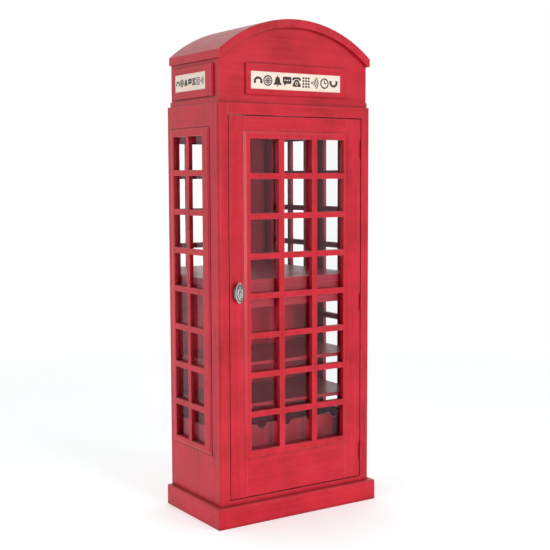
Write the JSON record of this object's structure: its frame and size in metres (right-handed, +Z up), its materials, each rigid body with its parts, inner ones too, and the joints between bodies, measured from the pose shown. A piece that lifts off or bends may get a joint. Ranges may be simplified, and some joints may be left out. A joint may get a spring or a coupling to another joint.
{
  "type": "telephone booth cabinet",
  "caption": "Glazed wooden display and bottle cabinet shaped like a red telephone booth, with a plinth, a hinged glazed door, shelves, a bottle rack, a mirror back and a vaulted roof.",
  "frame": {"origin": "on the floor, at the centre of the footprint of the whole object's box (knob nose to plinth back)", "axes": "+Z up, the door and the front face -Y, +X to the right seen from the front"},
  "size_m": [0.542, 0.314, 1.3999],
  "materials": {
    "painted wood": "hand-rubbed red paint on wood",
    "inside paint": "red paint on wood inside",
    "glass": "clear flat glass",
    "mirror": "silvered glass",
    "sign plate": "cream laminate with dark pictograms",
    "painted steel": "hinges painted over with the cabinet",
    "steel": "zinc-plated steel",
    "aged silver": "aged silver plate",
    "dark plastic": "moulded plastic"
  },
  "bodies": {
    "cabinet": {"back_panel": "painted wood", "bottom_board": "inside paint", "face_bottom_rail": "painted wood", "face_left_stile": "painted wood", "face_right_stile": "painted wood", "face_top_rail": "painted wood", "front_sign_frame": "painted wood", "front_sign_plate": "sign plate", "header_back": "painted wood", "header_front": "painted wood", "header_left": "painted wood", "header_right": "painted wood", "header_strips": "painted wood", "hinge_frame_leaves": "painted steel", "hinge_frame_screws": "steel", "hinge_pins": "painted steel", "left_front_stile": "painted wood", "left_lower_panel": "painted wood", "left_rear_stile": "painted wood", "left_sash": "painted wood", "left_top_rail": "painted wood", "lower_shelf": "inside paint", "magnetic_catch": "dark plastic", "middle_shelf": "inside paint", "mirror": "mirror", "plinth_back": "painted wood", "plinth_front": "painted wood", "plinth_left": "painted wood", "plinth_right": "painted wood", "rack_board": "inside paint", "rack_body_rail": "inside paint", "rack_cheeks": "inside paint", "rack_neck_rail": "inside paint", "right_front_stile": "painted wood", "right_lower_panel": "painted wood", "right_rear_stile": "painted wood", "right_sash": "painted wood", "right_top_rail": "painted wood", "roof": "painted wood", "shelf_apron": "inside paint", "shelf_pins": "steel", "side_glass": "glass", "side_glass_beads": "painted wood", "side_sign_frames": "painted wood", "side_sign_plates": "sign plate", "top_board": "inside paint", "upper_shelf": "inside paint"},
    "door": {"door_left_stile": "painted wood", "door_right_stile": "painted wood", "door_top_rail": "painted wood", "door_bottom_panel": "painted wood", "door_sash": "painted wood", "door_glass": "glass", "door_glass_beads": "painted wood", "knob": "aged silver", "knob_rose": "aged silver", "knob_screw": "steel", "strike_plate": "steel", "hinge_door_leaves": "painted steel", "hinge_door_screws": "steel"}
  },
  "joints": [
    {"name": "door_hinge", "type": "hinge", "parent": "cabinet", "child": "door", "pos_m": [0.22475, -0.139, 0.6], "axis": [0, 0, 1], "range_deg": [0, 170]}
  ]
}
